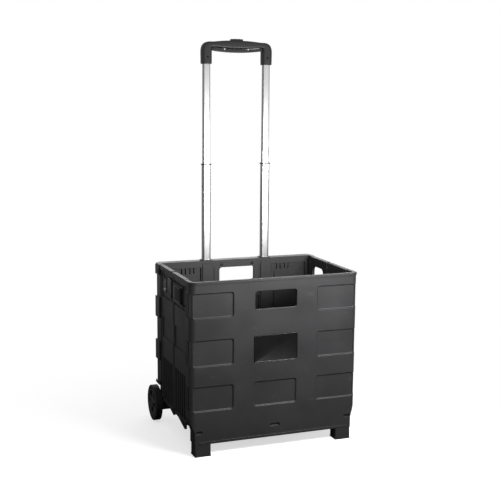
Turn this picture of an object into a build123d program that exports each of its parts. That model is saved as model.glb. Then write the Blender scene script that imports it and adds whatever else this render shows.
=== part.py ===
from build123d import *
import os

# Folding crate trolley: a moulded crate whose side walls are two hinged leaves each,
# a base board that lifts up against the rear wall, a two-stage telescopic handle,
# and two wheels on an axle behind the rear wall. Millimetres, +Z up, the crate's
# front faces -Y. The geometry is drawn with the front face at Y = 0 and is moved
# at export so that the origin is at the centre of the footprint, on the floor.

os.makedirs("parts", exist_ok=True)

# ---- driving dimensions ----
RIM_WIDTH = 420.0
RIM_PROUD_FRONT = 3.0
RIM_TOP = 408.0
RIM_HEIGHT = 6.0
CRATE_DEPTH = 290.0
SKIN_HALF = 208.5          # half width over the raised bands
BAND_PROUD = 4.0           # the wraps are this much narrower beside the rows of recesses
WALL_IN = 198.5            # inner half width of the corner wraps
CORNER_R = 14.0
FRONT_SKIN = 5.5
SKIRT_Z = 29.0
FOOT_HALF = 196.7
FOOT_IN = 157.9
FOOT_DEPTH = 31.2
FOOT_HEIGHT = 50.0
TAPER_TOP = 89.0           # the corners draw in towards the feet below this
TAPER_BOTTOM = 55.0
ROWS = [(324.6, 379.9), (213.0, 271.8), (107.7, 163.8)]
COLUMN_IN, COLUMN_OUT = 104.5, 200.5
CENTRE_HALF = 52.0
RECESS, RECESS_EASE = 3.4, 1.6
HAND_HOLE = (336.2, 379.2)
LABEL = (211.1, 274.3)

AXIS_X = 199.5             # hinge line of the walls
FRONT_AXIS_Y = 42.0
MID_AXIS_Y = 146.0
REAR_AXIS_Y = 250.0
HINGE_GAP = 6.0            # from a hinge line to the edge of a wall
KNUCKLE_R = 4.5
PIN_R = 2.0
PIN_FIT = 0.06
KNUCKLE_Z0, KNUCKLE_Z1, KNUCKLES = 72.0, 394.0, 7
KNUCKLE_PLAY = 0.6

KNOBS = [(101.0, 111.0), (384.0, 396.0)]
KNOB_X, KNOB_R = 205.6, 4.6

LEAF_IN, LEAF_OUT, LEAF_BAND = 196.5, 200.0, 203.0
LEAF_BOTTOM = 63.0
LEAF_BANDS = [(178.0, 229.0), (281.0, 331.0), (390.0, 402.0)]
LEAF_RIM_OUT = 209.0
CORNER_RIM_GAP = 2.5
MID_RIM_GAP = 5.8

REAR_IN, REAR_OUT = 266.0, 290.0
REAR_SKIN = (271.0, 275.0)
REAR_BOTTOM = 32.0
WINDOW_HALF = 47.0
WINDOW_Z = (322.0, 389.0)
COVER_Z = (74.0, 401.0)

TUBE_X, TUBE_Y = 78.5, 279.0
UPPER_TUBE = (19.0, 11.0, 1.0)     # width, depth, wall
MIDDLE_TUBE = (22.0, 14.0, 1.2)
OUTER_TUBE = (25.4, 17.4, 1.4)
MIDDLE_TOP = 651.0
SOCKET_BOTTOM = 895.0

WHEEL_R = 45.0
WHEEL_Y = 292.0
WHEEL_IN, WHEEL_OUT = 202.5, 219.0
AXLE_R = 4.0

BASE_TOP, BASE_PLATE = 61.0, 6.0
BASE_HALF = 193.0
BASE_FRONT = 35.0
BASE_AXIS_Y, BASE_AXIS_Z = 256.0, 56.0

FRONT_Y = -RIM_PROUD_FRONT
BACK_Y = WHEEL_Y + WHEEL_R
CENTRE_Y = (FRONT_Y + BACK_Y) / 2


# ---- small makers ----
def block(x0, x1, y0, y1, z0, z1):
    centre = Pos((x0 + x1) / 2, (y0 + y1) / 2, (z0 + z1) / 2)
    return centre * Box(x1 - x0, y1 - y0, z1 - z0)


def soft_block(x0, x1, y0, y1, z0, z1, radius, axis):
    body = block(x0, x1, y0, y1, z0, z1)
    return fillet(body.edges().filter_by(axis), radius)


def upright(x, y, radius, z0, z1):
    return Pos(x, y, (z0 + z1) / 2) * Cylinder(radius, z1 - z0)


def rod_x(y, z, radius, x0, x1):
    return Pos((x0 + x1) / 2, y, z) * Rot(0, 90, 0) * Cylinder(radius, x1 - x0)


def rod_y(x, z, radius, y0, y1):
    return Pos(x, (y0 + y1) / 2, z) * Rot(90, 0, 0) * Cylinder(radius, y1 - y0)


def both(shape):
    return [shape, mirror(shape, about=Plane.YZ)]


def export(name, shapes):
    solids = []
    for shape in shapes if isinstance(shapes, list) else [shapes]:
        solids += [s.moved(Location((0, -CENTRE_Y, 0))) for s in shape.solids()]
    whole = solids[0] if len(solids) == 1 else Compound(children=solids)
    export_step(whole, f"parts/{name}.step")


def sided(name, shape):
    """Writes a right-hand piece and its mirrored left-hand twin."""
    export(f"right_{name}", shape)
    export(f"left_{name}", mirror(shape, about=Plane.YZ))


# ---- wall hinges ----
def knuckle_spans(which):
    step = (KNUCKLE_Z1 - KNUCKLE_Z0) / KNUCKLES
    spans = [(KNUCKLE_Z0 + i * step, KNUCKLE_Z0 + (i + 1) * step) for i in range(KNUCKLES)]
    return [(a + KNUCKLE_PLAY / 2, b - KNUCKLE_PLAY / 2) for a, b in spans[which::2]]


def knuckles(axis_y, edge_y, which):
    """The rolled eyes of one wall on a hinge line, each with its arm to the wall's edge."""
    out = []
    for z0, z1 in knuckle_spans(which):
        y0, y1 = sorted((axis_y, edge_y))
        eye = upright(AXIS_X, axis_y, KNUCKLE_R, z0, z1)
        eye += block(LEAF_IN, LEAF_OUT, y0, y1, z0, z1)
        out.append(eye - upright(AXIS_X, axis_y, PIN_R + PIN_FIT, z0 - 1, z1 + 1))
    return out


def hinge_pin(axis_y):
    return upright(AXIS_X, axis_y, PIN_R, KNUCKLE_Z0 - 1, KNUCKLE_Z1 + 1)


# ---- front panel: skin, corner wraps, rim, feet and the ledge under the base board ----
def moulded_recess(x0, x1, z0, z1):
    """A cutter for a shallow recess: rounded plan, soft floor edge and a bevelled outer edge."""
    deep = soft_block(x0, x1, -5, RECESS, z0, z1, 5, Axis.Y)
    deep = fillet(deep.edges().group_by(Axis.Y)[-1], RECESS_EASE)
    ease = RECESS_EASE
    mouth = soft_block(x0 - ease, x1 + ease, -5, ease, z0 - ease, z1 + ease, 5 + ease, Axis.Y)
    return deep + chamfer(mouth.edges().group_by(Axis.Y)[-1], ease)


def silhouette(y0, y1):
    corners = [(-SKIN_HALF, RIM_TOP), (SKIN_HALF, RIM_TOP), (SKIN_HALF, TAPER_TOP)]
    corners += [(FOOT_HALF, TAPER_BOTTOM), (FOOT_HALF, 0), (-FOOT_HALF, 0)]
    corners += [(-FOOT_HALF, TAPER_BOTTOM), (-SKIN_HALF, TAPER_TOP)]
    face = Plane.XZ * make_face(Polyline(*corners, close=True))
    return Pos(0, y1, 0) * extrude(face, y1 - y0)


def rounded_front(half, y0, y1, z0, z1, radius):
    body = block(-half, half, y0, y1, z0, z1)
    front = body.edges().filter_by(Axis.Z).group_by(Axis.Y)[0]
    return fillet(front, radius)


def front_panel():
    edge = FRONT_AXIS_Y - HINGE_GAP
    panel = rounded_front(SKIN_HALF, 0, edge, SKIRT_Z, RIM_TOP - 1, CORNER_R)
    panel &= silhouette(0, edge)
    inner_low = FOOT_HALF - 5
    panel -= rounded_front(WALL_IN, FRONT_SKIN, edge + 5, TAPER_TOP + 3, RIM_TOP + 5, 8)
    panel -= block(-inner_low, inner_low, FRONT_SKIN, edge + 5, SKIRT_Z - 5, TAPER_TOP + 4)
    rim = rounded_front(RIM_WIDTH / 2, FRONT_Y, FRONT_AXIS_Y - 0.5, RIM_TOP - RIM_HEIGHT, RIM_TOP, 17)
    rim -= rounded_front(WALL_IN, 6.5, FRONT_AXIS_Y + 5, RIM_TOP - 20, RIM_TOP + 5, 8)
    top = rim.edges().filter_by_position(Axis.Z, RIM_TOP - 0.01, RIM_TOP + 0.01)
    panel += chamfer(top, 1.2)
    for z0, z1 in ROWS:
        pocket = moulded_recess(COLUMN_IN, COLUMN_OUT, z0, z1)
        for cut in both(pocket):
            panel -= cut
        # the wraps step in beside each row, which leaves the bands standing proud,
        # and have an upright slot there
        step = block(SKIN_HALF - BAND_PROUD, SKIN_HALF + 5, -5, edge + 5, z0, z1)
        for cut in both(step):
            panel -= cut
        for cut in both(block(WALL_IN - 5, SKIN_HALF + 1, 22, 29, z0 + 3, z1 - 3)):
            panel -= cut
    panel -= moulded_recess(-CENTRE_HALF, CENTRE_HALF, *ROWS[2])
    panel -= soft_block(-CENTRE_HALF, CENTRE_HALF, -5, 20, *HAND_HOLE, 6, Axis.Y)
    panel -= soft_block(-CENTRE_HALF - 2.5, CENTRE_HALF + 2.5, -5, 1.5, LABEL[0] - 1, LABEL[1] + 1, 4, Axis.Y)
    for x, half in [(0, 12), (-187, 8), (187, 8)]:
        panel -= soft_block(x - half, x + half, -5, 5, 53, 61, 2.5, Axis.Y)
    # feet are open boxes under the corners
    foot = soft_block(FOOT_IN, FOOT_HALF, 0, FOOT_DEPTH, 0, FOOT_HEIGHT, 3, Axis.Z)
    foot -= block(FOOT_IN + 3.5, FOOT_HALF - 3.5, 3.5, FOOT_DEPTH - 3.5, -1, FOOT_HEIGHT - 6)
    foot += block(FOOT_IN, FOOT_HALF, 0, FOOT_DEPTH, 0, 3)
    for piece in both(foot):
        panel += piece
    ledge_top = BASE_TOP - BASE_PLATE - 0.5
    panel += block(-inner_low - 1, inner_low + 1, 3, 45, ledge_top - 3, ledge_top)
    for x in (-135, -90, -45, 0, 45, 90, 135):
        panel += block(x - 1.25, x + 1.25, 4, 43, SKIRT_Z + 5, ledge_top - 1)
    # bead along the foot of the skirt
    bead = rounded_front(FOOT_HALF + 0.8, -0.8, 20, SKIRT_Z, SKIRT_Z + 6, CORNER_R)
    panel += bead - block(-250, 250, FRONT_SKIN, 60, 0, RIM_TOP)
    # knobs over the ends of the hinge pins
    for z0, z1 in KNOBS:
        for piece in both(upright(KNOB_X, edge - 6, KNOB_R, z0, z1)):
            panel += piece
    # inner stiffening bead behind the rim
    panel += block(-WALL_IN - 1, WALL_IN + 1, FRONT_SKIN - 1, FRONT_SKIN + 2, 388, 391)
    hinge = knuckles(FRONT_AXIS_Y, edge - 2, 0)
    for z0, z1 in knuckle_spans(0):
        hinge.append(block(WALL_IN - 1.5, AXIS_X + 3, edge - 6, edge + 1, z0, z1))
    for piece in hinge:
        for twin in both(piece):
            panel += twin
    for pin in both(upright(AXIS_X, FRONT_AXIS_Y, PIN_R + PIN_FIT, KNUCKLE_Z0 - 2, KNUCKLE_Z1 + 2)):
        panel -= pin
    return panel


export("front_panel", front_panel())
label = soft_block(-CENTRE_HALF - 2, CENTRE_HALF + 2, -0.8, 1.4, LABEL[0] - 0.5, LABEL[1] + 0.5, 3.5, Axis.Y)
export("label_plate", label)
export("front_hinge_pins", both(hinge_pin(FRONT_AXIS_Y)))


# ---- side wall leaves ----
def leaf(y0, y1, rim0, rim1):
    body = block(LEAF_IN, LEAF_OUT, y0, y1, LEAF_BOTTOM, RIM_TOP - RIM_HEIGHT + 1)
    for z0, z1 in LEAF_BANDS:
        body += block(LEAF_OUT - 1, LEAF_BAND, y0 + 1.5, y1 - 1.5, z0, z1)
    count = 6
    pitch = (y1 - y0 - 8) / (count - 1)
    for i in range(count):
        y = y0 + 4 + i * pitch
        body += block(LEAF_OUT - 1, LEAF_BAND - 1, y - 1.2, y + 1.2, LEAF_BOTTOM + 6, LEAF_BANDS[0][0] + 1)
    body += block(LEAF_OUT - 1, LEAF_BAND, y0 + 1.5, y1 - 1.5, LEAF_BOTTOM, LEAF_BOTTOM + 7)
    rim = block(LEAF_IN, LEAF_RIM_OUT, rim0, rim1, RIM_TOP - RIM_HEIGHT, RIM_TOP)
    along = rim.edges().filter_by(Axis.Y).group_by(Axis.Z)[-1]
    return body + chamfer(along, 1.2)


front_edge, mid_front = FRONT_AXIS_Y + HINGE_GAP, MID_AXIS_Y - HINGE_GAP
mid_rear, rear_edge = MID_AXIS_Y + HINGE_GAP, REAR_AXIS_Y - HINGE_GAP

front_leaf = leaf(front_edge, mid_front, FRONT_AXIS_Y + CORNER_RIM_GAP, MID_AXIS_Y - MID_RIM_GAP)
for piece in knuckles(FRONT_AXIS_Y, front_edge + 1, 1) + knuckles(MID_AXIS_Y, mid_front - 1, 1):
    front_leaf += piece
# guide rails of the latch slider
LATCH_Z = (343.0, 380.0)
LATCH_Y = (84.0, 138.0)
for z in (LATCH_Z[0] - 4.5, LATCH_Z[1] + 1):
    front_leaf += block(LEAF_OUT - 1, LEAF_BAND + 2.5, LATCH_Y[0] - 18, mid_front - 2, z, z + 3.5)
sided("front_leaf", front_leaf)

rear_leaf = leaf(mid_rear, rear_edge, MID_AXIS_Y + MID_RIM_GAP, REAR_AXIS_Y - CORNER_RIM_GAP)
for piece in knuckles(MID_AXIS_Y, mid_rear + 1, 0) + knuckles(REAR_AXIS_Y, rear_edge - 1, 1):
    rear_leaf += piece
GRIP_Y, GRIP_Z = (170.0, 234.0), (340.0, 386.0)
collar = soft_block(LEAF_OUT - 1, LEAF_BAND, GRIP_Y[0] - 3, GRIP_Y[1] + 3, GRIP_Z[0] - 3, GRIP_Z[1] + 3, 15, Axis.X)
rear_leaf += collar
rear_leaf -= soft_block(LEAF_IN - 5, LEAF_BAND + 5, *GRIP_Y, *GRIP_Z, 13, Axis.X)
# keeper that the latch slides into
rear_leaf += block(LEAF_OUT - 1, LEAF_BAND + 2.5, mid_rear + 2, mid_rear + 12, LATCH_Z[0] - 4.5, LATCH_Z[0] - 1)
rear_leaf += block(LEAF_OUT - 1, LEAF_BAND + 2.5, mid_rear + 2, mid_rear + 12, LATCH_Z[1] + 1, LATCH_Z[1] + 4.5)
sided("rear_leaf", rear_leaf)
sided("middle_hinge_pin", hinge_pin(MID_AXIS_Y))

latch = block(LEAF_OUT + 4.8, LEAF_OUT + 6.8, *LATCH_Y, *LATCH_Z)
latch += block(LEAF_OUT + 0.4, LEAF_OUT + 5, LATCH_Y[0], LATCH_Y[1] - 16, LATCH_Z[0] + 1, LATCH_Z[1] - 1)
for i in range(7):
    y = LATCH_Y[0] + 6 + i * 5.5
    latch += block(LEAF_OUT + 6, LEAF_OUT + 8, y - 1.1, y + 1.1, LATCH_Z[0] + 4, LATCH_Z[1] - 4)
sided("wall_latch", latch)


# ---- rear panel: ribbed moulding with the tube columns, window and wheel mounts ----
def rear_panel():
    edge = REAR_AXIS_Y + HINGE_GAP
    panel = block(-WALL_IN, WALL_IN, *REAR_SKIN, REAR_BOTTOM, RIM_TOP - 1)
    rim = block(-RIM_WIDTH / 2, RIM_WIDTH / 2, REAR_AXIS_Y + 0.5, CRATE_DEPTH, RIM_TOP - RIM_HEIGHT, RIM_TOP)
    back = rim.edges().filter_by(Axis.Z).group_by(Axis.Y)[-1]
    rim = fillet(back, 15)
    rim -= block(-WALL_IN, WALL_IN, REAR_AXIS_Y - 5, REAR_IN, RIM_TOP - 20, RIM_TOP + 5)
    panel += rim
    # top band, side frames, columns and window frame all reach the inner face
    panel += block(-WALL_IN, WALL_IN, REAR_IN, REAR_OUT - 2, 391, RIM_TOP - 3)
    panel += block(-WALL_IN, WALL_IN, REAR_IN, REAR_OUT - 4, REAR_BOTTOM, REAR_BOTTOM + 40)
    for x0, x1 in [(-WALL_IN, -190), (190, WALL_IN)]:
        panel += block(x0, x1, REAR_IN, REAR_OUT - 4, REAR_BOTTOM, RIM_TOP - 3)
    for x in (-TUBE_X, TUBE_X):
        panel += block(x - 17, x + 17, REAR_IN + 1, REAR_OUT, REAR_BOTTOM + 10, RIM_TOP - 1)
    frame = block(-61, 61, REAR_IN, REAR_OUT - 4, WINDOW_Z[0] - 12, RIM_TOP - 3)
    frame -= block(-WINDOW_HALF - 4, WINDOW_HALF + 4, REAR_SKIN[1], REAR_OUT, WINDOW_Z[0] - 4, WINDOW_Z[1] + 4)
    panel += frame
    # back ribs
    for z in (110, 160, 210, 262, 312, 352):
        panel += block(-WALL_IN, WALL_IN, REAR_SKIN[1] - 1, REAR_OUT - 6, z - 1.25, z + 1.25)
    for x in (-160, -128, -40, 0, 40, 128, 160):
        panel += block(x - 1.25, x + 1.25, REAR_SKIN[1] - 1, REAR_OUT - 6, REAR_BOTTOM, 312 if abs(x) < 50 else 400)
    # inner field between column and side frame: raised plate with rounded corners
    for piece in both(soft_block(104, 184, REAR_IN + 2, REAR_SKIN[0] + 1, 90, 376, 10, Axis.Y)):
        panel += piece
    for x in (112, 122, 134, 144):
        for piece in both(block(x - 1.5, x + 1.5, REAR_IN + 1, REAR_SKIN[0] + 1, 376, 392)):
            panel += piece
    panel -= soft_block(-WINDOW_HALF, WINDOW_HALF, REAR_IN - 5, REAR_OUT + 5, *WINDOW_Z, 7, Axis.Y)
    # corner wraps with proud bands, cut away above the wheels
    wrap = block(LEAF_IN, SKIN_HALF - BAND_PROUD, edge, REAR_OUT - 1, 100, RIM_TOP - 3)
    for z0, z1 in [(100, 107), (164, 213), (272, 324), (380, 404)]:
        wrap += block(WALL_IN, SKIN_HALF, edge, REAR_OUT, z0, z1)
    for z0, z1 in KNOBS:
        wrap += upright(KNOB_X, edge + 7, KNOB_R, z0, z1)
    for piece in both(wrap):
        panel += piece
    hinge = knuckles(REAR_AXIS_Y, edge + 1, 0)
    for piece in hinge:
        for twin in both(piece):
            panel += twin
    for twin in both(block(LEAF_IN, WALL_IN + 2, edge, REAR_IN + 1, KNUCKLE_Z0, 101)):
        panel += twin
    # seats of the channel covers, and bores for the fixed tubes, open at the top
    for x in (-TUBE_X, TUBE_X):
        panel -= block(x - 13.6, x + 13.6, REAR_IN - 5, REAR_IN + 1, COVER_Z[0] - 0.1, COVER_Z[1] + 0.1)
    w, d, _ = OUTER_TUBE
    for x in (-TUBE_X, TUBE_X):
        panel -= block(x - w / 2 - 0.05, x + w / 2 + 0.05, TUBE_Y - d / 2 - 0.05, TUBE_Y + d / 2 + 0.05, 60, RIM_TOP + 5)
    # wheel mounts
    for piece in both(soft_block(150, WALL_IN, REAR_IN, WHEEL_Y + 10, REAR_BOTTOM, 60, 5, Axis.X)):
        panel += piece
    panel -= rod_x(WHEEL_Y, WHEEL_R, AXLE_R + 0.05, -WALL_IN - 5, WALL_IN + 5)
    # eyes for the base board's hinge rod
    for x in (-180, -60, 60, 180):
        eye = rod_x(BASE_AXIS_Y, BASE_AXIS_Z, 5, x - 8, x + 8)
        eye += block(x - 8, x + 8, BASE_AXIS_Y, REAR_IN + 1, BASE_AXIS_Z - 5, BASE_AXIS_Z + 2)
        panel += eye
    panel -= rod_x(BASE_AXIS_Y, BASE_AXIS_Z, 2.5 + PIN_FIT, -189, 189)
    return panel


export("rear_panel", rear_panel())
export("rear_hinge_pins", both(hinge_pin(REAR_AXIS_Y)))
export("base_hinge_rod", rod_x(BASE_AXIS_Y, BASE_AXIS_Z, 2.5, -188.5, 188.5))
cover = soft_block(TUBE_X - 13.5, TUBE_X + 13.5, REAR_IN - 1.6, REAR_IN + 0.9, *COVER_Z, 2, Axis.Y)
sided("tube_channel_cover", cover)
screws = []
for x in (-41, 41):
    head = rod_y(x, 396.5, 3.6, REAR_IN - 1.4, REAR_IN)
    screws.append(head - rod_y(x, 396.5, 1.6, REAR_IN - 2, REAR_IN - 0.5))
export("rear_frame_screws", screws)


# ---- base board ----
def base_board():
    plate_bottom = BASE_TOP - BASE_PLATE
    board = block(-BASE_HALF, BASE_HALF, 64, BASE_AXIS_Y - 7, plate_bottom, BASE_TOP)
    board += soft_block(-188.5, 188.5, BASE_FRONT, 70, plate_bottom, BASE_TOP, 4, Axis.Z)
    for y in (86, 124, 162, 200, 240):
        board += block(-184, 184, y - 1.25, y + 1.25, 46, plate_bottom + 1)
    for x in (-150, -100, -50, 0, 50, 100, 150):
        board += block(x - 1.25, x + 1.25, 86, 240, 46, plate_bottom + 1)
    # side lugs: hooked fins below the edge, each with a slot
    for y0, y1, tip in [(84, 152, 37), (178, 224, 42)]:
        fin = Polyline((y0, plate_bottom + 1), (y1, plate_bottom + 1), (y1, 52), (y0 + 8, tip), (y0, tip + 3), close=True)
        lug = Pos(BASE_HALF - 3.5, 0, 0) * extrude(Plane.YZ * make_face(fin), 3.5)
        lug -= block(0, 250, y0 + 8, y1 - 22, plate_bottom - 5.5, plate_bottom - 1.5)
        for piece in both(lug):
            board += piece
    for x in (-140, -20, 20, 140):
        eye = rod_x(BASE_AXIS_Y, BASE_AXIS_Z, 5, x - 10, x + 10)
        eye += block(x - 10, x + 10, BASE_AXIS_Y - 10, BASE_AXIS_Y, plate_bottom - 1, BASE_TOP)
        board += eye
    return board - rod_x(BASE_AXIS_Y, BASE_AXIS_Z, 2.5 + PIN_FIT, -200, 200)


export("base_board", base_board())


# ---- wheels ----
export("wheel_axle", rod_x(WHEEL_Y, WHEEL_R, AXLE_R, -WHEEL_OUT + 3.5, WHEEL_OUT - 3.5))
tyre = rod_x(WHEEL_Y, WHEEL_R, WHEEL_R, WHEEL_IN, WHEEL_OUT)
outer = tyre.edges().filter_by(GeomType.CIRCLE)
tyre = fillet(outer, 3.5)
tyre -= rod_x(WHEEL_Y, WHEEL_R, 34.5, WHEEL_IN - 1, WHEEL_OUT + 1)
sided("tyre", tyre)
hub = rod_x(WHEEL_Y, WHEEL_R, 34.4, WHEEL_IN + 0.5, WHEEL_OUT - 0.8)
hub -= rod_x(WHEEL_Y, WHEEL_R, 30.5, WHEEL_OUT - 5, WHEEL_OUT)
hub -= rod_x(WHEEL_Y, WHEEL_R, 30.5, WHEEL_IN, WHEEL_IN + 5)
for i in range(5):
    spoke = block(WHEEL_IN + 2.5, WHEEL_OUT - 2.5, WHEEL_Y - 3, WHEEL_Y + 3, WHEEL_R, WHEEL_R + 31.5)
    hub += spoke.rotate(Axis((0, WHEEL_Y, WHEEL_R), (1, 0, 0)), 72 * i)
hub += rod_x(WHEEL_Y, WHEEL_R, 11, WHEEL_IN + 0.5, WHEEL_OUT - 1.5)
hub -= rod_x(WHEEL_Y, WHEEL_R, AXLE_R + 0.08, WHEEL_IN - 1, WHEEL_OUT + 1)
sided("wheel_hub", hub)
cap = rod_x(WHEEL_Y, WHEEL_R, 10, WHEEL_OUT - 1.4, WHEEL_OUT)
cap += rod_x(WHEEL_Y, WHEEL_R, 7.5, WHEEL_OUT - 1.5, WHEEL_OUT - 1.2)
sided("axle_cap", cap)
washer = rod_x(WHEEL_Y, WHEEL_R, 8, WALL_IN + 0.3, WHEEL_IN - 0.3)
washer -= rod_x(WHEEL_Y, WHEEL_R, AXLE_R + 0.05, 0, WHEEL_OUT)
export("axle_washers", both(washer))


# ---- telescopic tubes ----
def tube(size, z0, z1):
    w, d, wall = size
    outer_r = d / 2 - 2
    skin = soft_block(TUBE_X - w / 2, TUBE_X + w / 2, TUBE_Y - d / 2, TUBE_Y + d / 2, z0, z1, outer_r, Axis.Z)
    w, d = w - 2 * wall, d - 2 * wall
    bore = soft_block(
        TUBE_X - w / 2, TUBE_X + w / 2, TUBE_Y - d / 2, TUBE_Y + d / 2, z0 - 1, z1 + 1, outer_r - wall, Axis.Z
    )
    return skin - bore


LOCK_Z = 595.0
LOCK_R = 3.2
sided("fixed_tube", tube(OUTER_TUBE, 61, RIM_TOP - 2))
middle = tube(MIDDLE_TUBE, 340, MIDDLE_TOP - 3)
middle -= rod_x(TUBE_Y, LOCK_Z, LOCK_R + 0.3, TUBE_X, TUBE_X + 20)
sided("middle_tube", middle)
upper = tube(UPPER_TUBE, 585, 921)
upper -= rod_x(TUBE_Y, LOCK_Z, LOCK_R + 0.5, TUBE_X, TUBE_X + 20)
sided("upper_tube", upper)

w, d, _ = MIDDLE_TUBE
bush = soft_block(
    TUBE_X - w / 2 - 1.2, TUBE_X + w / 2 + 1.2, TUBE_Y - d / 2 - 1.2, TUBE_Y + d / 2 + 1.2,
    MIDDLE_TOP - 3, MIDDLE_TOP, 4, Axis.Z,
)
w, d, _ = UPPER_TUBE
bush -= block(TUBE_X - w / 2 - 0.3, TUBE_X + w / 2 + 0.3, TUBE_Y - d / 2 - 0.3, TUBE_Y + d / 2 + 0.3, 600, 700)
sided("middle_tube_bush", bush)

w, d, _ = OUTER_TUBE
bush = soft_block(
    TUBE_X - w / 2 - 2, TUBE_X + w / 2 + 2, TUBE_Y - d / 2 - 1.5, TUBE_Y + d / 2 + 1.5,
    RIM_TOP, RIM_TOP + 1.8, 3, Axis.Z,
)
w, d, _ = MIDDLE_TUBE
bush -= block(TUBE_X - w / 2 - 0.3, TUBE_X + w / 2 + 0.3, TUBE_Y - d / 2 - 0.3, TUBE_Y + d / 2 + 0.3, 400, 420)
sided("fixed_tube_bush", bush)

# lock button, flush with the outer wall of the middle tube so that it can slide into the fixed tube
lock_face = TUBE_X + MIDDLE_TUBE[0] / 2
lock = rod_x(TUBE_Y, LOCK_Z, LOCK_R, lock_face - MIDDLE_TUBE[2], lock_face)
lock = chamfer(lock.edges().filter_by(GeomType.CIRCLE).group_by(Axis.X)[-1], 0.4)
sided("tube_lock_button", lock)


# ---- handle ----
GRIP_TOP, GRIP_SHOULDER, GRIP_HALF = 952.5, 945.5, 92.0
GRIP_UNDER, GRIP_END = 932.0, 938.0
CORNER_Z = 931.5           # where the socket turns into the bar
SOCKET_IN = 66.5
SCREW_Z, SCREW_R = 912.0, 2.4
YOKE_Z = (938.2, 942.1)    # bar under the button that pushes both rods
GRIP_Y0, GRIP_Y1 = 267.0, 291.0


def lens(profile, y0, y1):
    return Pos(0, y1, 0) * extrude(Plane.XZ * make_face(profile), y1 - y0)


def grip_shell():
    outline = Curve() + [
        ThreePointArc((-80, GRIP_SHOULDER), (0, GRIP_TOP), (80, GRIP_SHOULDER)),
        ThreePointArc((80, GRIP_SHOULDER), (88.8, 941), (GRIP_HALF, CORNER_Z)),
        Line((GRIP_HALF, CORNER_Z), (91, SOCKET_BOTTOM)),
        Line((91, SOCKET_BOTTOM), (SOCKET_IN, SOCKET_BOTTOM)),
        Line((SOCKET_IN, SOCKET_BOTTOM), (SOCKET_IN - 0.5, CORNER_Z + 0.5)),
        ThreePointArc((SOCKET_IN - 0.5, CORNER_Z + 0.5), (64.5, 936), (61, GRIP_END)),
        ThreePointArc((61, GRIP_END), (0, GRIP_UNDER), (-61, GRIP_END)),
        ThreePointArc((-61, GRIP_END), (-64.5, 936), (-SOCKET_IN + 0.5, CORNER_Z + 0.5)),
        Line((-SOCKET_IN + 0.5, CORNER_Z + 0.5), (-SOCKET_IN, SOCKET_BOTTOM)),
        Line((-SOCKET_IN, SOCKET_BOTTOM), (-91, SOCKET_BOTTOM)),
        Line((-91, SOCKET_BOTTOM), (-GRIP_HALF, CORNER_Z)),
        ThreePointArc((-GRIP_HALF, CORNER_Z), (-88.8, 941), (-80, GRIP_SHOULDER)),
    ]
    shell = lens(outline, GRIP_Y0, GRIP_Y1)
    w, d, _ = UPPER_TUBE
    for x in (-TUBE_X, TUBE_X):
        socket = (x - w / 2 - 0.05, x + w / 2 + 0.05, TUBE_Y - d / 2 - 0.05, TUBE_Y + d / 2 + 0.05)
        shell -= block(*socket, SOCKET_BOTTOM - 5, 921.5)
        shell -= upright(x, TUBE_Y, 5, 915, YOKE_Z[0] + 1)
        shell -= rod_y(x, SCREW_Z, SCREW_R, GRIP_Y0 - 5, GRIP_Y0 + 4)
    shell -= block(-84, 84, TUBE_Y - 5, TUBE_Y + 5, YOKE_Z[0] - 3.6, YOKE_Z[1] + 0.9)
    shell -= block(-15.5, 15.5, TUBE_Y - 7.5, TUBE_Y + 7.5, YOKE_Z[1] - 2.9, 970)
    return shell


export("handle_grip", grip_shell())

bow = Curve() + [
    ThreePointArc((-63.8, 935.4), (0, 931.6), (63.8, 935.4)),
    Line((63.8, 935.4), (65.6, 928)),
    ThreePointArc((65.6, 928), (0, 923.5), (-65.6, 928)),
    Line((-65.6, 928), (-63.8, 935.4)),
]
bow = lens(bow, GRIP_Y0 + 4, GRIP_Y1 - 4)
bow -= lens(
    Curve() + [
        ThreePointArc((-63.8, 938.6), (0, 931.6), (63.8, 938.6)),
        Line((63.8, 938.6), (63.8, 960)),
        Line((63.8, 960), (-63.8, 960)),
        Line((-63.8, 960), (-63.8, 938.6)),
    ],
    200, 350,
)
for x in (-31, 31):
    bow -= block(x - 4, x + 4, 200, 350, 930, 939)
export("handle_under_bow", bow)

cap_screws = []
for x in (-TUBE_X, TUBE_X):
    cap_screws.append(rod_y(x, SCREW_Z, SCREW_R, GRIP_Y0 - 0.6, GRIP_Y0 + 4))
export("handle_screws", cap_screws)
plugs = []
for x in (-TUBE_X, TUBE_X):
    plug = soft_block(x - 8.4, x + 8.4, TUBE_Y - 4.4, TUBE_Y + 4.4, 903, 908, 2.5, Axis.Z)
    plugs.append(plug - upright(x, TUBE_Y, 3.3, 900, 910))
export("upper_tube_plugs", plugs)

button = soft_block(-14.8, 14.8, TUBE_Y - 6.8, TUBE_Y + 6.8, YOKE_Z[1] + 0.1, GRIP_TOP + 4.5, 4, Axis.Z)
button = fillet(button.edges().group_by(Axis.Z)[-1], 1.5)
export("release_button", button)
export("release_yoke", block(-82, 82, TUBE_Y - 4, TUBE_Y + 4, *YOKE_Z))
export("release_rods", [upright(x, TUBE_Y, 3, 600, YOKE_Z[0] - 0.1) for x in (-TUBE_X, TUBE_X)])
coil = Helix(pitch=3.7, height=22, radius=3.9)
wire = sweep(Plane(coil @ 0, z_dir=coil % 0) * Circle(0.35), path=coil)
export("release_springs", [Pos(x, TUBE_Y, 910) * wire for x in (-TUBE_X, TUBE_X)])
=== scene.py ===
from math import cos, pi, radians, sin

import bpy
from mathutils import Matrix, Vector


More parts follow.
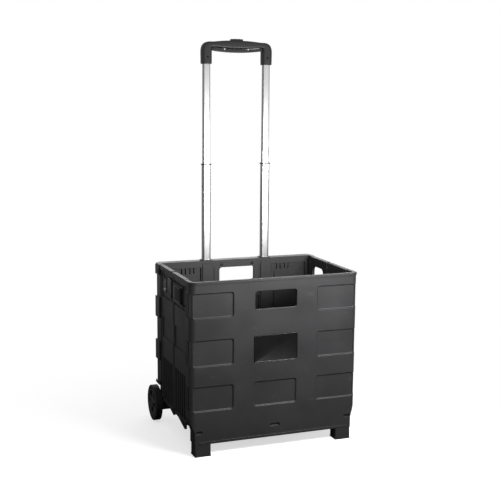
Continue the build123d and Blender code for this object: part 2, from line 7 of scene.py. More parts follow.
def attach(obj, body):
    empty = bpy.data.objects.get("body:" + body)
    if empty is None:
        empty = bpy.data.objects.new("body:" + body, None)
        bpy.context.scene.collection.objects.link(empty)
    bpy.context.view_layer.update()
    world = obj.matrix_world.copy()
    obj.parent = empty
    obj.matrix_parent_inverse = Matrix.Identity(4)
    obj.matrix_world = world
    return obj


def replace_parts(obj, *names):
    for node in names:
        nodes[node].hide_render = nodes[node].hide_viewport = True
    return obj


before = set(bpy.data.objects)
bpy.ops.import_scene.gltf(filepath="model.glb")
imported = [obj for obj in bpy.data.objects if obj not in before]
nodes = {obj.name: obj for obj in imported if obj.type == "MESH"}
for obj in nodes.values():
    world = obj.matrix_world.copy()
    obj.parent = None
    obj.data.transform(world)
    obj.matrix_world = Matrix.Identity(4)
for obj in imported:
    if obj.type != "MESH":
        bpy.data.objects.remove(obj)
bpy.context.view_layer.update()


# ---- studio: a white board under the trolley and a pale room round it ----
# The board runs on into the background without an edge. A small lamp hangs close to the
# front on the right, and two large ones stand off, one in front and one behind.
BOARD_SIZE, BOARD_Z = 40.0, -0.0004
BOARD_DARK, BOARD_PALE, BOARD_LIFT = 0.78, 0.80, 0.62
PLAIN_FROM, PLAIN_TO = 0.30, 0.80
BOUNCE_FROM, BOUNCE_TO = 0.25, 2.2
BOUNCE_NEAR, BOUNCE_FAR = 0.05, 0.55
BRIGHT_WAY = (0.50, -0.86, 0.12)
GLOW_DIM, GLOW_BRIGHT = 0.44, 0.55


def ray_seen(tree, seen, unseen):
    """Mixes what the camera looks at with what only lights the trolley."""
    path = tree.nodes.new("ShaderNodeLightPath")
    mix = tree.nodes.new("ShaderNodeMixShader")
    tree.links.new(path.outputs["Is Camera Ray"], mix.inputs["Fac"])
    tree.links.new(unseen, mix.inputs[1])
    tree.links.new(seen, mix.inputs[2])
    return mix.outputs["Shader"]


def studio_floor():
    """The board takes the trolley's shadow near the middle and turns plain white further out."""
    bpy.ops.mesh.primitive_plane_add(size=BOARD_SIZE, location=(0, 0, BOARD_Z))
    floor = bpy.context.active_object
    floor.name = "studio_floor"
    board = bpy.data.materials.new("white_board")
    board.use_nodes = True
    tree = board.node_tree
    tree.nodes.remove(tree.nodes["Principled BSDF"])
    fibre = tree.nodes.new("ShaderNodeTexNoise")
    fibre.inputs["Scale"].default_value = 3.0
    tone = tree.nodes.new("ShaderNodeMapRange")
    tone.inputs["To Min"].default_value = BOARD_DARK
    tone.inputs["To Max"].default_value = BOARD_PALE
    tree.links.new(fibre.outputs["Fac"], tone.inputs["Value"])
    card = tree.nodes.new("ShaderNodeBsdfDiffuse")
    tree.links.new(tone.outputs["Result"], card.inputs["Color"])
    lift = tree.nodes.new("ShaderNodeEmission")
    lift.inputs["Strength"].default_value = BOARD_LIFT
    lit = tree.nodes.new("ShaderNodeAddShader")
    tree.links.new(card.outputs["BSDF"], lit.inputs[0])
    tree.links.new(lift.outputs["Emission"], lit.inputs[1])
    place = tree.nodes.new("ShaderNodeTexCoord")
    reach = tree.nodes.new("ShaderNodeVectorMath")
    reach.operation = "LENGTH"
    tree.links.new(place.outputs["Object"], reach.inputs[0])
    fade = tree.nodes.new("ShaderNodeMapRange")
    fade.interpolation_type = "SMOOTHSTEP"
    fade.inputs["From Min"].default_value = PLAIN_FROM
    fade.inputs["From Max"].default_value = PLAIN_TO
    tree.links.new(reach.outputs["Value"], fade.inputs["Value"])
    plain = tree.nodes.new("ShaderNodeEmission")
    away = tree.nodes.new("ShaderNodeMixShader")
    tree.links.new(fade.outputs["Result"], away.inputs["Fac"])
    tree.links.new(lit.outputs["Shader"], away.inputs[1])
    tree.links.new(plain.outputs["Emission"], away.inputs[2])
    spill = tree.nodes.new("ShaderNodeMapRange")
    spill.inputs["From Min"].default_value = BOUNCE_FROM
    spill.inputs["From Max"].default_value = BOUNCE_TO
    spill.inputs["To Min"].default_value = BOUNCE_NEAR
    spill.inputs["To Max"].default_value = BOUNCE_FAR
    tree.links.new(reach.outputs["Value"], spill.inputs["Value"])
    bounce = tree.nodes.new("ShaderNodeBsdfDiffuse")
    tree.links.new(spill.outputs["Result"], bounce.inputs["Color"])
    surface = ray_seen(tree, away.outputs["Shader"], bounce.outputs["BSDF"])
    tree.links.new(surface, tree.nodes["Material Output"].inputs["Surface"])
    floor.data.materials.append(board)


def studio_room():
    """White to the camera; as a light it is a little brighter in front and to the right."""
    room = bpy.data.worlds.new("white_room")
    room.use_nodes = True
    tree = room.node_tree
    seen = tree.nodes["Background"]
    seen.inputs["Color"].default_value = (1.0, 1.0, 1.0, 1.0)
    place = tree.nodes.new("ShaderNodeTexCoord")
    facing = tree.nodes.new("ShaderNodeVectorMath")
    facing.operation = "DOT_PRODUCT"
    facing.inputs[1].default_value = BRIGHT_WAY
    tree.links.new(place.outputs["Generated"], facing.inputs[0])
    glow = tree.nodes.new("ShaderNodeMapRange")
    glow.interpolation_type = "SMOOTHSTEP"
    glow.inputs["From Min"].default_value = -0.6
    glow.inputs["From Max"].default_value = 0.95
    glow.inputs["To Min"].default_value = GLOW_DIM
    glow.inputs["To Max"].default_value = GLOW_BRIGHT
    tree.links.new(facing.outputs["Value"], glow.inputs["Value"])
    unseen = tree.nodes.new("ShaderNodeBackground")
    tree.links.new(glow.outputs["Result"], unseen.inputs["Strength"])
    surface = ray_seen(tree, seen.outputs["Background"], unseen.outputs["Background"])
    tree.links.new(surface, tree.nodes["World Output"].inputs["Surface"])
    bpy.context.scene.world = room


def soft_lamp(name, place, aim, size, watts):
    lamp = bpy.data.lights.new(name, "AREA")
    lamp.shape = "RECTANGLE"
    lamp.size, lamp.size_y = size
    lamp.energy = watts
    holder = bpy.data.objects.new(name, lamp)
    bpy.context.scene.collection.objects.link(holder)
    holder.visible_camera = False
    holder.location = place
    holder.rotation_euler = (Vector(aim) - Vector(place)).to_track_quat("-Z", "Y").to_euler()


studio_floor()
studio_room()
soft_lamp("key_lamp", place=(0.20, -0.60, 0.57), aim=(0.05, -0.17, 0.30), size=(0.40, 0.16), watts=6)
soft_lamp("front_lamp", place=(1.5, -3.3, 1.05), aim=(0, 0, 0.8), size=(1.6, 1.2), watts=5)
soft_lamp("back_lamp", place=(1.0, 2.7, 0.95), aim=(0, 0, 0.4), size=(2.0, 1.1), watts=16)
bpy.context.scene.view_settings.view_transform = "Standard"

# ---- camera: a long lens at the height of the handle, a little to the left ----
# It stands 2.3 m off and looks 9 degrees down, turned 21 degrees towards the right.
EYE = (-0.8357, -2.1888, 0.8188)
VIEW_TURN, VIEW_DROP, VIEW_ROLL = radians(-20.84), radians(9.03), radians(0.46)
lens = bpy.data.cameras.new("camera")
lens.lens = 69.87
lens.sensor_width = 36.0
lens.clip_end = 60.0
camera = bpy.data.objects.new("camera", lens)
bpy.context.scene.collection.objects.link(camera)
way = Matrix.Rotation(VIEW_TURN, 4, "Z") @ Matrix.Rotation(pi / 2 - VIEW_DROP, 4, "X")
camera.matrix_world = Matrix.Translation(EYE) @ way @ Matrix.Rotation(VIEW_ROLL, 4, "Z")
bpy.context.scene.camera = camera


# ---- crate mouldings: front panel, four wall leaves, rear panel, base, covers ----
# Injection-moulded polypropylene, near black, with the fine spark-eroded grain of the
# tool, corners rounded as they leave it, and faint pale scuffs from use.
def group(name, inputs, outputs):
    """A shader node group with named float inputs and named outputs."""
    tree = bpy.data.node_groups.new(name, "ShaderNodeTree")
    for label, value in inputs.items():
        socket = tree.interface.new_socket(label, in_out="INPUT", socket_type="NodeSocketFloat")
        socket.default_value = value
    for label in outputs:
        tree.interface.new_socket(label, in_out="OUTPUT", socket_type="NodeSocketFloat")
    return tree, tree.nodes.new("NodeGroupInput"), tree.nodes.new("NodeGroupOutput")


def tool_grain():
    """Spark-eroded texture: grain height, a slow drift of sheen and sparse fine scuffs."""
    tree, given, out = group("tool_grain", {"Grain Size": 1800.0, "Scuff": 0.5}, ["Height", "Sheen", "Scuff"])
    place = tree.nodes.new("ShaderNodeTexCoord")
    fine = tree.nodes.new("ShaderNodeTexNoise")
    fine.inputs["Detail"].default_value = 3.0
    tree.links.new(place.outputs["Object"], fine.inputs["Vector"])
    tree.links.new(given.outputs["Grain Size"], fine.inputs["Scale"])
    slow = tree.nodes.new("ShaderNodeTexNoise")
    slow.inputs["Scale"].default_value = 14.0
    slow.inputs["Detail"].default_value = 4.0
    tree.links.new(place.outputs["Object"], slow.inputs["Vector"])
    stretch = tree.nodes.new("ShaderNodeMapping")
    stretch.inputs["Rotation"].default_value = (0.3, 0.5, 0.7)
    stretch.inputs["Scale"].default_value = (30.0, 260.0, 60.0)
    tree.links.new(place.outputs["Object"], stretch.inputs["Vector"])
    marks = tree.nodes.new("ShaderNodeTexNoise")
    marks.inputs["Scale"].default_value = 1.0
    marks.inputs["Detail"].default_value = 5.0
    tree.links.new(stretch.outputs["Vector"], marks.inputs["Vector"])
    sparse = tree.nodes.new("ShaderNodeMapRange")
    sparse.inputs["From Min"].default_value = 0.64
    sparse.inputs["From Max"].default_value = 0.80
    tree.links.new(marks.outputs["Fac"], sparse.inputs["Value"])
    scuff = tree.nodes.new("ShaderNodeMath")
    scuff.operation = "MULTIPLY"
    tree.links.new(sparse.outputs["Result"], scuff.inputs[0])
    tree.links.new(given.outputs["Scuff"], scuff.inputs[1])
    tree.links.new(fine.outputs["Fac"], out.inputs["Height"])
    tree.links.new(slow.outputs["Fac"], out.inputs["Sheen"])
    tree.links.new(scuff.outputs["Value"], out.inputs["Scuff"])
    return tree


GRAIN = tool_grain()


def plastic(name, dark, pale, rough, grain_size, grain_depth, scuff, corner):
    """Moulded plastic: tone and roughness drift with the sheen, scuffs pale it, the grain is bump."""
    material = bpy.data.materials.new(name)
    material.use_nodes = True
    tree = material.node_tree
    shader = tree.nodes["Principled BSDF"]
    grain = tree.nodes.new("ShaderNodeGroup")
    grain.node_tree = GRAIN
    grain.inputs["Grain Size"].default_value = grain_size
    grain.inputs["Scuff"].default_value = scuff
    tone = tree.nodes.new("ShaderNodeMix")
    tone.data_type = "RGBA"
    tone.inputs["A"].default_value = (*dark, 1.0)
    tone.inputs["B"].default_value = (*pale, 1.0)
    tree.links.new(grain.outputs["Sheen"], tone.inputs["Factor"])
    worn = tree.nodes.new("ShaderNodeMix")
    worn.data_type = "RGBA"
    worn.inputs["B"].default_value = (0.16, 0.16, 0.165, 1.0)
    tree.links.new(tone.outputs["Result"], worn.inputs["A"])
    tree.links.new(grain.outputs["Scuff"], worn.inputs["Factor"])
    tree.links.new(worn.outputs["Result"], shader.inputs["Base Color"])
    gloss = tree.nodes.new("ShaderNodeMapRange")
    gloss.inputs["From Min"].default_value = 0.3
    gloss.inputs["From Max"].default_value = 0.7
    gloss.inputs["To Min"].default_value = rough - 0.06
    gloss.inputs["To Max"].default_value = rough + 0.06
    tree.links.new(grain.outputs["Sheen"], gloss.inputs["Value"])
    tree.links.new(gloss.outputs["Result"], shader.inputs["Roughness"])
    eased = tree.nodes.new("ShaderNodeBevel")
    eased.samples = 6
    eased.inputs["Radius"].default_value = corner
    bump = tree.nodes.new("ShaderNodeBump")
    bump.inputs["Strength"].default_value = 0.35
    bump.inputs["Distance"].default_value = grain_depth
    tree.links.new(eased.outputs["Normal"], bump.inputs["Normal"])
    tree.links.new(grain.outputs["Height"], bump.inputs["Height"])
    tree.links.new(bump.outputs["Normal"], shader.inputs["Normal"])
    return material


def dress(material, *names):
    """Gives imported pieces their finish."""
    for name in names:
        mesh = nodes[name].data
        mesh.materials.clear()
        mesh.materials.append(material)


crate_black = plastic(
    "crate_black", dark=(0.018, 0.018, 0.019), pale=(0.026, 0.026, 0.0275), rough=0.44,
    grain_size=1800.0, grain_depth=0.00012, scuff=0.10, corner=0.0008,
)
dress(crate_black, "front_panel", "rear_panel", "base_board", "left_front_leaf", "right_front_leaf")
dress(crate_black, "left_rear_leaf", "right_rear_leaf", "left_tube_channel_cover", "right_tube_channel_cover")


# ---- wall latches: ribbed sliders that lock the side walls' middle hinges ----
# Moulded in the same black plastic as the crate, with a finer and slightly glossier surface.
latch_black = plastic(
    "latch_black", dark=(0.018, 0.018, 0.019), pale=(0.026, 0.026, 0.028), rough=0.38,
    grain_size=2200.0, grain_depth=0.00008, scuff=0.1, corner=0.0005,
)
dress(latch_black, "left_wall_latch", "right_wall_latch")


# ---- handle mouldings: bow, yoke, plugs, tube bushes and lock buttons ----
# Small hard plastic mouldings, a shade paler than the crate and with a fine satin grain.
handle_black = plastic(
    "handle_black", dark=(0.026, 0.026, 0.027), pale=(0.036, 0.036, 0.038), rough=0.40,
    grain_size=2600.0, grain_depth=0.00006, scuff=0.2, corner=0.0006,
)
dress(handle_black, "handle_under_bow", "release_yoke", "upper_tube_plugs")
dress(handle_black, "left_tube_lock_button", "right_tube_lock_button")
for side in ("left", "right"):
    dress(handle_black, f"{side}_middle_tube_bush", f"{side}_fixed_tube_bush")


# ---- tubes: two legs of three telescoping tubes ----
# Extruded aluminium, brushed along its length and clear anodised.
def drawn_metal(name, colour, rough, lines):
    """Metal with fine lines; the three values of lines are how often they repeat along X, Y and Z."""
    material = bpy.data.materials.new(name)
    material.use_nodes = True
    tree = material.node_tree
    shader = tree.nodes["Principled BSDF"]
    shader.inputs["Metallic"].default_value = 1.0
    place = tree.nodes.new("ShaderNodeTexCoord")
    stretch = tree.nodes.new("ShaderNodeMapping")
    stretch.inputs["Scale"].default_value = lines
    tree.links.new(place.outputs["Object"], stretch.inputs["Vector"])
    brush = tree.nodes.new("ShaderNodeTexNoise")
    brush.inputs["Scale"].default_value = 1.0
    brush.inputs["Detail"].default_value = 4.0
    tree.links.new(stretch.outputs["Vector"], brush.inputs["Vector"])
    tone = tree.nodes.new("ShaderNodeMix")
    tone.data_type = "RGBA"
    tone.inputs["A"].default_value = (*[c * 0.92 for c in colour], 1.0)
    tone.inputs["B"].default_value = (*colour, 1.0)
    tree.links.new(brush.outputs["Fac"], tone.inputs["Factor"])
    tree.links.new(tone.outputs["Result"], shader.inputs["Base Color"])
    gloss = tree.nodes.new("ShaderNodeMapRange")
    gloss.inputs["To Min"].default_value = rough - 0.07
    gloss.inputs["To Max"].default_value = rough + 0.07
    tree.links.new(brush.outputs["Fac"], gloss.inputs["Value"])
    tree.links.new(gloss.outputs["Result"], shader.inputs["Roughness"])
    bump = tree.nodes.new("ShaderNodeBump")
    bump.inputs["Strength"].default_value = 0.12
    bump.inputs["Distance"].default_value = 0.00005
    tree.links.new(brush.outputs["Fac"], bump.inputs["Height"])
    tree.links.new(bump.outputs["Normal"], shader.inputs["Normal"])
    return material


anodised = drawn_metal("anodised_aluminium", (0.60, 0.603, 0.61), rough=0.30, lines=(2600.0, 2600.0, 9.0))
for side in ("left", "right"):
    dress(anodised, f"{side}_fixed_tube", f"{side}_middle_tube", f"{side}_upper_tube")


# ---- pins, rods, springs and screws ----
# Drawn steel wire and rod, zinc plated: bright on the hinge pins, axle and release rods,
# and black on the screws.
black_zinc = drawn_metal("black_zinc", (0.03, 0.03, 0.032), rough=0.40, lines=(700.0, 700.0, 700.0))
dress(black_zinc, "rear_frame_screws")
zinc_upright = drawn_metal("zinc_upright", (0.55, 0.55, 0.57), rough=0.35, lines=(900.0, 900.0, 30.0))
dress(zinc_upright, "front_hinge_pins", "rear_hinge_pins", "left_middle_hinge_pin", "right_middle_hinge_pin")
dress(zinc_upright, "release_rods", "release_springs")
zinc_rod = drawn_metal("zinc_rod", (0.55, 0.55, 0.57), rough=0.35, lines=(30.0, 900.0, 900.0))
dress(zinc_rod, "wheel_axle", "axle_washers", "base_hinge_rod")


# ---- wheels: a solid rubber tyre pressed round a moulded five-spoke hub, with a snap-on cap ----
# The tyre has a flat tread with three running grooves and a raised bead on each sidewall;
# the hub has a rim, tapered spokes and a boss on both faces.
WHEEL_X, WHEEL_Y, WHEEL_Z = 0.21075, 0.125, 0.045
TYRE_R, TYRE_WIDE, SEAT_R = 0.045, 0.0153, 0.0345
SHOULDER, BEAD_WIDE, BEAD_PROUD = 0.0035, 0.0022, 0.0006
GROOVES, GROOVE_HALF, GROOVE_DEEP = (-0.0045, 0.0, 0.0045), 0.0007, 0.0009
HUB_WIDE, RIM_THICK, WEB_SUNK, WEB_REACH = 0.0148, 0.0038, 0.0046, 0.0175
BOSS_HIGH, CAP_R, CAP_THICK, CAP_X = 0.0050, 0.0100, 0.0014, 0.2183
SPOKES, SPOKE_FROM, SPOKE_PLACE, SPOKE_TAPER = 5, 0.0105, 0.0041, 0.62
tyre_rubber = plastic(
    "tyre_rubber", dark=(0.006, 0.006, 0.006), pale=(0.011, 0.011, 0.011), rough=0.62,
    grain_size=1500.0, grain_depth=0.0001, scuff=0.2, corner=0.0006,
)
hub_plastic = plastic(
    "hub_plastic", dark=(0.034, 0.034, 0.036), pale=(0.046, 0.046, 0.048), rough=0.36,
    grain_size=2000.0, grain_depth=0.00006, scuff=0.15, corner=0.0006,
)


def only_faces(mesh, wanted):
    """In edit mode, selects just the faces that the test accepts."""
    bpy.ops.mesh.select_mode(type="FACE")
    bpy.ops.mesh.select_all(action="DESELECT")
    bpy.ops.object.mode_set(mode="OBJECT")
    for face in mesh.polygons:
        face.select = wanted(face)
    bpy.ops.object.mode_set(mode="EDIT")


def only_edges(mesh, wanted):
    """In edit mode, selects just the edges whose two ends pass the test."""
    bpy.ops.mesh.select_mode(type="EDGE")
    bpy.ops.mesh.select_all(action="DESELECT")
    bpy.ops.object.mode_set(mode="OBJECT")
    for edge in mesh.edges:
        edge.select = wanted(*(mesh.vertices[v].co for v in edge.vertices))
    bpy.ops.object.mode_set(mode="EDIT")


def start(make, name, **where):
    """Adds a primitive with nothing else selected and names it."""
    bpy.ops.object.select_all(action="DESELECT")
    make(**where)
    piece = bpy.context.active_object
    piece.name = name
    return piece


def close(piece, angle):
    """Outward normals, smooth faces up to the angle, and the place moved into the mesh."""
    bpy.ops.object.mode_set(mode="EDIT")
    bpy.ops.mesh.select_all(action="SELECT")
    bpy.ops.mesh.remove_doubles(threshold=0.00001)
    bpy.ops.mesh.normals_make_consistent(inside=False)
    bpy.ops.object.mode_set(mode="OBJECT")
    bpy.ops.object.transform_apply(location=True, rotation=True, scale=True)
    bpy.ops.object.shade_smooth_by_angle(angle=radians(angle))
    return piece


def apply_modifier(piece, kind, name, **settings):
    """Adds a modifier with its settings and applies it."""
    modifier = piece.modifiers.new(name, kind)
    for key, value in settings.items():
        setattr(modifier, key, value)
    bpy.ops.object.modifier_apply(modifier=name)


def ease(piece, width, segments, angle=40):
    """Rounds the corners that are sharper than the angle."""
    apply_modifier(
        piece, "BEVEL", "ease", width=width, segments=segments,
        limit_method="ANGLE", angle_limit=radians(angle),
    )


def sink(step):
    """Moves the selected faces in by the step, with new walls round them; below zero is out."""
    bpy.ops.mesh.extrude_region_shrink_fatten(TRANSFORM_OT_shrink_fatten={"value": -step})


def tyre(side, sign):
    piece = start(
        bpy.ops.mesh.primitive_cylinder_add, f"{side}_tyre_moulded", vertices=96, radius=TYRE_R,
        depth=TYRE_WIDE, location=(sign * WHEEL_X, WHEEL_Y, WHEEL_Z), rotation=(0, pi / 2, 0),
    )
    bpy.ops.object.mode_set(mode="EDIT")
    mesh = piece.data
    # the two sidewalls are inset to the seat of the hub, opened and joined through the middle
    only_faces(mesh, lambda face: abs(face.normal.z) > 0.9)
    bpy.ops.mesh.inset(thickness=SHOULDER)
    bpy.ops.mesh.inset(thickness=BEAD_WIDE)
    bpy.ops.mesh.inset(thickness=TYRE_R - SEAT_R - SHOULDER - BEAD_WIDE)
    bpy.ops.mesh.delete(type="FACE")
    bpy.ops.mesh.select_all(action="DESELECT")
    bpy.ops.mesh.select_mode(type="EDGE")
    bpy.ops.mesh.select_non_manifold()
    bpy.ops.mesh.bridge_edge_loops()
    # a raised bead round each sidewall
    middle = TYRE_R - SHOULDER - BEAD_WIDE / 2
    only_faces(mesh, lambda face: abs(face.normal.z) > 0.9 and abs(face.center.xy.length - middle) < 0.0007)
    sink(-BEAD_PROUD)
    # three running grooves in the tread
    for groove in GROOVES:
        for edge in (groove - GROOVE_HALF, groove + GROOVE_HALF):
            bpy.ops.mesh.select_all(action="SELECT")
            bpy.ops.mesh.bisect(plane_co=(sign * WHEEL_X + edge, WHEEL_Y, WHEEL_Z), plane_no=(1, 0, 0))

    def in_groove(face):
        nearest = min(abs(face.center.z - groove) for groove in GROOVES)
        return face.center.xy.length > TYRE_R - 0.0005 and nearest < GROOVE_HALF

    only_faces(mesh, in_groove)
    sink(GROOVE_DEEP)
    bpy.ops.object.mode_set(mode="OBJECT")
    ease(piece, 0.0012, 3, angle=50)
    close(piece, 40)
    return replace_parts(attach(piece, f"{side}_wheel"), f"{side}_tyre")


def spoke(out, face_side, turn_by):
    """A bar from the boss to the rim, narrower on its outer face."""
    reach = (SPOKE_FROM + SEAT_R - 0.0035) / 2
    across, up = WHEEL_Y - reach * sin(turn_by), WHEEL_Z + reach * cos(turn_by)
    bar = start(
        bpy.ops.mesh.primitive_cube_add, "spoke", size=1.0,
        location=(out + face_side * SPOKE_PLACE, across, up),
        rotation=(turn_by, 0, 0), scale=(0.0042, 0.0064, SEAT_R - 0.0028 - SPOKE_FROM),
    )
    bpy.ops.object.mode_set(mode="EDIT")
    only_faces(bar.data, lambda face: face.normal.x * face_side > 0.9)
    bpy.ops.transform.resize(value=(1, SPOKE_TAPER, 1), center_override=bar.location)
    bpy.ops.object.mode_set(mode="OBJECT")
    bpy.ops.object.transform_apply(location=True, rotation=True, scale=True)
    apply_modifier(bar, "BEVEL", "ease", width=0.0006, segments=2)
    return close(bar, 35)


def hub(side, sign):
    out = sign * WHEEL_X
    piece = start(
        bpy.ops.mesh.primitive_cylinder_add, f"{side}_hub_moulded", vertices=80, radius=SEAT_R,
        depth=HUB_WIDE, location=(out, WHEEL_Y, WHEEL_Z), rotation=(0, pi / 2, 0),
    )
    bpy.ops.object.mode_set(mode="EDIT")
    # both faces: rim, sunk web, raised boss, and a shallow seat for the cap
    only_faces(piece.data, lambda face: abs(face.normal.z) > 0.9)
    bpy.ops.mesh.inset(thickness=RIM_THICK)
    sink(WEB_SUNK)
    bpy.ops.mesh.inset(thickness=WEB_REACH)
    bpy.ops.mesh.inset(thickness=0.0014)
    sink(-BOSS_HIGH)
    bpy.ops.mesh.inset(thickness=0.0018)
    sink(0.0006)
    bpy.ops.object.mode_set(mode="OBJECT")
    ease(piece, 0.0007, 2)
    close(piece, 35)
    turns = [radians(360 / SPOKES * i) for i in range(SPOKES)]
    spokes = [spoke(out, face_side, turn_by) for face_side in (-1, 1) for turn_by in turns]
    bpy.ops.object.select_all(action="DESELECT")
    for bar in spokes:
        bar.select_set(True)
    piece.select_set(True)
    bpy.context.view_layer.objects.active = piece
    bpy.ops.object.join()
    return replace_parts(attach(piece, f"{side}_wheel"), f"{side}_wheel_hub")


def axle_cap(side, sign):
    """A disc with a ring sunk in its face."""
    piece = start(
        bpy.ops.mesh.primitive_cylinder_add, f"{side}_cap_domed", vertices=48, radius=CAP_R,
        depth=CAP_THICK, location=(sign * CAP_X, WHEEL_Y, WHEEL_Z), rotation=(0, sign * pi / 2, 0),
    )
    bpy.ops.object.mode_set(mode="EDIT")
    only_faces(piece.data, lambda face: face.normal.z > 0.9)
    bpy.ops.mesh.inset(thickness=0.0012)
    sink(0.0004)
    bpy.ops.mesh.inset(thickness=0.0030)
    sink(-0.0004)
    bpy.ops.object.mode_set(mode="OBJECT")
    ease(piece, 0.0003, 2)
    close(piece, 35)
    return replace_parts(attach(piece, f"{side}_wheel"), f"{side}_axle_cap")


for side, sign in (("left", -1), ("right", 1)):
    tyre(side, sign).data.materials.append(tyre_rubber)
    hub(side, sign).data.materials.append(hub_plastic)
    axle_cap(side, sign).data.materials.append(hub_plastic)


# ---- label plate: a gloss black moulded plate snapped into the front, left blank ----
# It has rounded corners, and a thin border that stands a little above its polished field.
label_gloss = plastic(
    "label_gloss", dark=(0.003, 0.003, 0.003), pale=(0.005, 0.005, 0.005), rough=0.22,
    grain_size=900.0, grain_depth=0.00001, scuff=0.1, corner=0.0008,
)


def label_plate():
    piece = start(
        bpy.ops.mesh.primitive_cube_add, "label_plate_moulded", size=1.0,
        location=(0, -0.1667, 0.2427), scale=(0.1080, 0.0022, 0.0642),
    )
    bpy.ops.object.transform_apply(location=False, rotation=False, scale=True)
    bpy.ops.object.mode_set(mode="EDIT")
    only_edges(piece.data, lambda a, b: abs(a.y - b.y) > 0.001)
    bpy.ops.mesh.bevel(offset=0.0045, segments=6)
    only_faces(piece.data, lambda face: face.normal.y < -0.9)
    bpy.ops.mesh.inset(thickness=0.0016)
    sink(0.0006)
    bpy.ops.object.mode_set(mode="OBJECT")
    ease(piece, 0.0003, 2)
    close(piece, 35)
    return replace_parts(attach(piece, "front_wall"), "label_plate")


label_plate().data.materials.append(label_gloss)


# ---- handle grip: two moulded half shells screwed together round the tubes' tops ----
# The bar swells towards the middle, turns down over each tube into a square socket,
# and has a slot for the release button on top.
GRIP_Y, HALF_DEEP = 0.112, 0.012
BAR_Z, BAR_THICK = 0.9425, 0.021
CORNER_X, CORNER_Z = 0.064, 0.9315
TUBE_X, SCREW_Z = 0.0785, 0.912


def grip_bar():
    """One half is drawn out of a short length of the bar, section by section, then mirrored."""
    piece = start(
        bpy.ops.mesh.primitive_cube_add, "grip_moulded", size=1.0,
        location=(0.008, GRIP_Y, BAR_Z), scale=(0.016, 2 * HALF_DEEP, BAR_THICK),
    )
    bpy.ops.object.transform_apply(location=True, rotation=True, scale=True)
    mesh = piece.data
    bpy.ops.object.mode_set(mode="EDIT")
    only_edges(mesh, lambda a, b: abs(a.x - b.x) > 0.001)
    bpy.ops.mesh.bevel(offset=0.0052, segments=3)
    only_faces(mesh, lambda face: face.normal.x > 0.9)
    # along the bar: distance from the middle, top and underside of each section
    thick = BAR_THICK
    at = Vector((0.016, GRIP_Y, BAR_Z))
    for x, top, under in ((0.034, 0.9521, 0.9332), (0.050, 0.9507, 0.9346), (CORNER_X, 0.9489, 0.9360)):
        centre = Vector((x, GRIP_Y, (top + under) / 2))
        bpy.ops.mesh.extrude_region_move(TRANSFORM_OT_translate={"value": centre - at})
        bpy.ops.transform.resize(value=(1, 1, (top - under) / thick), center_override=centre)
        at, thick = centre, top - under
    # round the corner in three turns: angle from upright, inner and outer reach from its centre
    pivot = Vector((CORNER_X, GRIP_Y, CORNER_Z))
    inner, outer = 0.0045, 0.0174
    for degrees, near, far in ((30, 0.0038, 0.0212), (60, 0.0030, 0.0268), (90, 0.0024, 0.0282)):
        bpy.ops.mesh.extrude_region_move(TRANSFORM_OT_translate={"value": (0, 0, 0)})
        bpy.ops.transform.rotate(value=radians(-30), orient_axis="Y", center_override=pivot)
        grow = (far - near) / (outer - inner)
        bpy.ops.transform.resize(value=(grow, 1, grow), center_override=pivot)
        out = Vector((sin(radians(degrees)), 0, cos(radians(degrees))))
        bpy.ops.transform.translate(value=out * (near - inner * grow))
        inner, outer = near, far
    # down the socket: height, centre and width of each section
    at, thick = Vector((CORNER_X + (inner + outer) / 2, GRIP_Y, CORNER_Z)), outer - inner
    for z, centre_x, wide in ((0.917, 0.0789, 0.0254), (0.899, 0.0788, 0.0250), (0.8956, 0.0788, 0.0248)):
        centre = Vector((centre_x, GRIP_Y, z))
        bpy.ops.mesh.extrude_region_move(TRANSFORM_OT_translate={"value": centre - at})
        bpy.ops.transform.resize(value=(wide / thick, 1, 1), center_override=centre)
        at, thick = centre, wide
    # its lip is turned in and up round the tube
    bpy.ops.mesh.inset(thickness=0.0006)
    bpy.ops.transform.translate(value=(0, 0, -0.0006))
    bpy.ops.mesh.inset(thickness=0.0018)
    bpy.ops.mesh.inset(thickness=0.0004)
    bpy.ops.transform.translate(value=(0, 0, 0.002))
    bpy.ops.mesh.delete(type="FACE")
    only_faces(mesh, lambda face: face.normal.x < -0.9 and face.center.x < 0.001)
    bpy.ops.mesh.delete(type="FACE")
    bpy.ops.object.mode_set(mode="OBJECT")
    apply_modifier(piece, "MIRROR", "other_half", use_axis=(True, False, False), merge_threshold=0.0001)
    apply_modifier(piece, "SUBSURF", "round", levels=2, render_levels=2)
    return piece


def cut_out(piece, cutter):
    """Takes the cutter's shape out of the piece and drops the cutter."""
    bpy.ops.object.select_all(action="DESELECT")
    piece.select_set(True)
    bpy.context.view_layer.objects.active = piece
    apply_modifier(piece, "BOOLEAN", "cut", operation="DIFFERENCE", object=cutter, solver="EXACT")
    bpy.data.objects.remove(cutter)


def grip():
    """The bar with its button slot and a well for each screw."""
    piece = grip_bar()
    slot = start(
        bpy.ops.mesh.primitive_cube_add, "button_slot", size=1.0,
        location=(0, GRIP_Y, 0.9505), scale=(0.0310, 0.0150, 0.0225),
    )
    bpy.ops.object.transform_apply(location=True, rotation=True, scale=True)
    apply_modifier(slot, "BEVEL", "round", width=0.0042, segments=4, limit_method="ANGLE")
    cut_out(piece, slot)
    for sign in (-1, 1):
        well = start(
            bpy.ops.mesh.primitive_cylinder_add, "screw_well", vertices=32, radius=0.0027, depth=0.008,
            location=(sign * TUBE_X, GRIP_Y - HALF_DEEP - 0.0022, SCREW_Z), rotation=(pi / 2, 0, 0),
        )
        cut_out(piece, well)
    close(piece, 35)
    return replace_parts(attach(piece, "handle_stage"), "handle_grip")


grip().data.materials.append(handle_black)


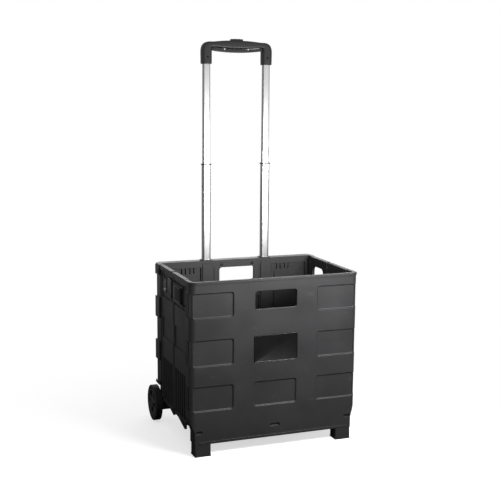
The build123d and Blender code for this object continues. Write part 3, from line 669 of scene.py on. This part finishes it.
def grip_screws():
    """Sunk pan heads with a cross recess, one low on the front of each socket."""
    face_y = GRIP_Y - HALF_DEEP
    heads = []
    for sign in (-1, 1):
        head = start(
            bpy.ops.mesh.primitive_cylinder_add, "grip_screws_sunk", vertices=32, radius=0.0025, depth=0.0014,
            location=(sign * TUBE_X, face_y + 0.0011, SCREW_Z), rotation=(pi / 2, 0, 0),
        )
        bpy.ops.object.transform_apply(location=True, rotation=True, scale=True)
        ease(head, 0.0004, 2)
        for turn_by in (0, pi / 2):
            bar = start(
                bpy.ops.mesh.primitive_cube_add, "cross_recess", size=1.0,
                location=(sign * TUBE_X, face_y + 0.0004, SCREW_Z),
                rotation=(0, turn_by + pi / 4, 0), scale=(0.0028, 0.0014, 0.0006),
            )
            cut_out(head, bar)
        heads.append(close(head, 35))
    bpy.ops.object.select_all(action="DESELECT")
    for head in heads:
        head.select_set(True)
    bpy.context.view_layer.objects.active = heads[0]
    bpy.ops.object.join()
    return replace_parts(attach(heads[0], "handle_stage"), "handle_screws")


grip_screws().data.materials.append(black_zinc)


def release_button():
    """The push button is a rounded block with three finger ribs across its top."""
    piece = start(
        bpy.ops.mesh.primitive_cube_add, "release_button_ribbed", size=1.0,
        location=(0, GRIP_Y, 0.94935), scale=(0.0294, 0.0134, 0.0140),
    )
    bpy.ops.object.transform_apply(location=True, rotation=True, scale=True)
    bpy.ops.object.mode_set(mode="EDIT")
    for x in (-0.0072, -0.0048, -0.0012, 0.0012, 0.0048, 0.0072):
        bpy.ops.mesh.select_all(action="SELECT")
        bpy.ops.mesh.bisect(plane_co=(x, 0, 0), plane_no=(1, 0, 0))

    def on_rib(face):
        from_middle = abs(face.center.x)
        return face.normal.z > 0.9 and (from_middle < 0.001 or 0.005 < from_middle < 0.007)

    only_faces(piece.data, on_rib)
    bpy.ops.mesh.inset(thickness=0.0001)
    sink(-0.0006)
    bpy.ops.object.mode_set(mode="OBJECT")
    ease(piece, 0.0009, 3)
    close(piece, 35)
    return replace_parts(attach(piece, "release"), "release_button")


release_button().data.materials.append(handle_black)
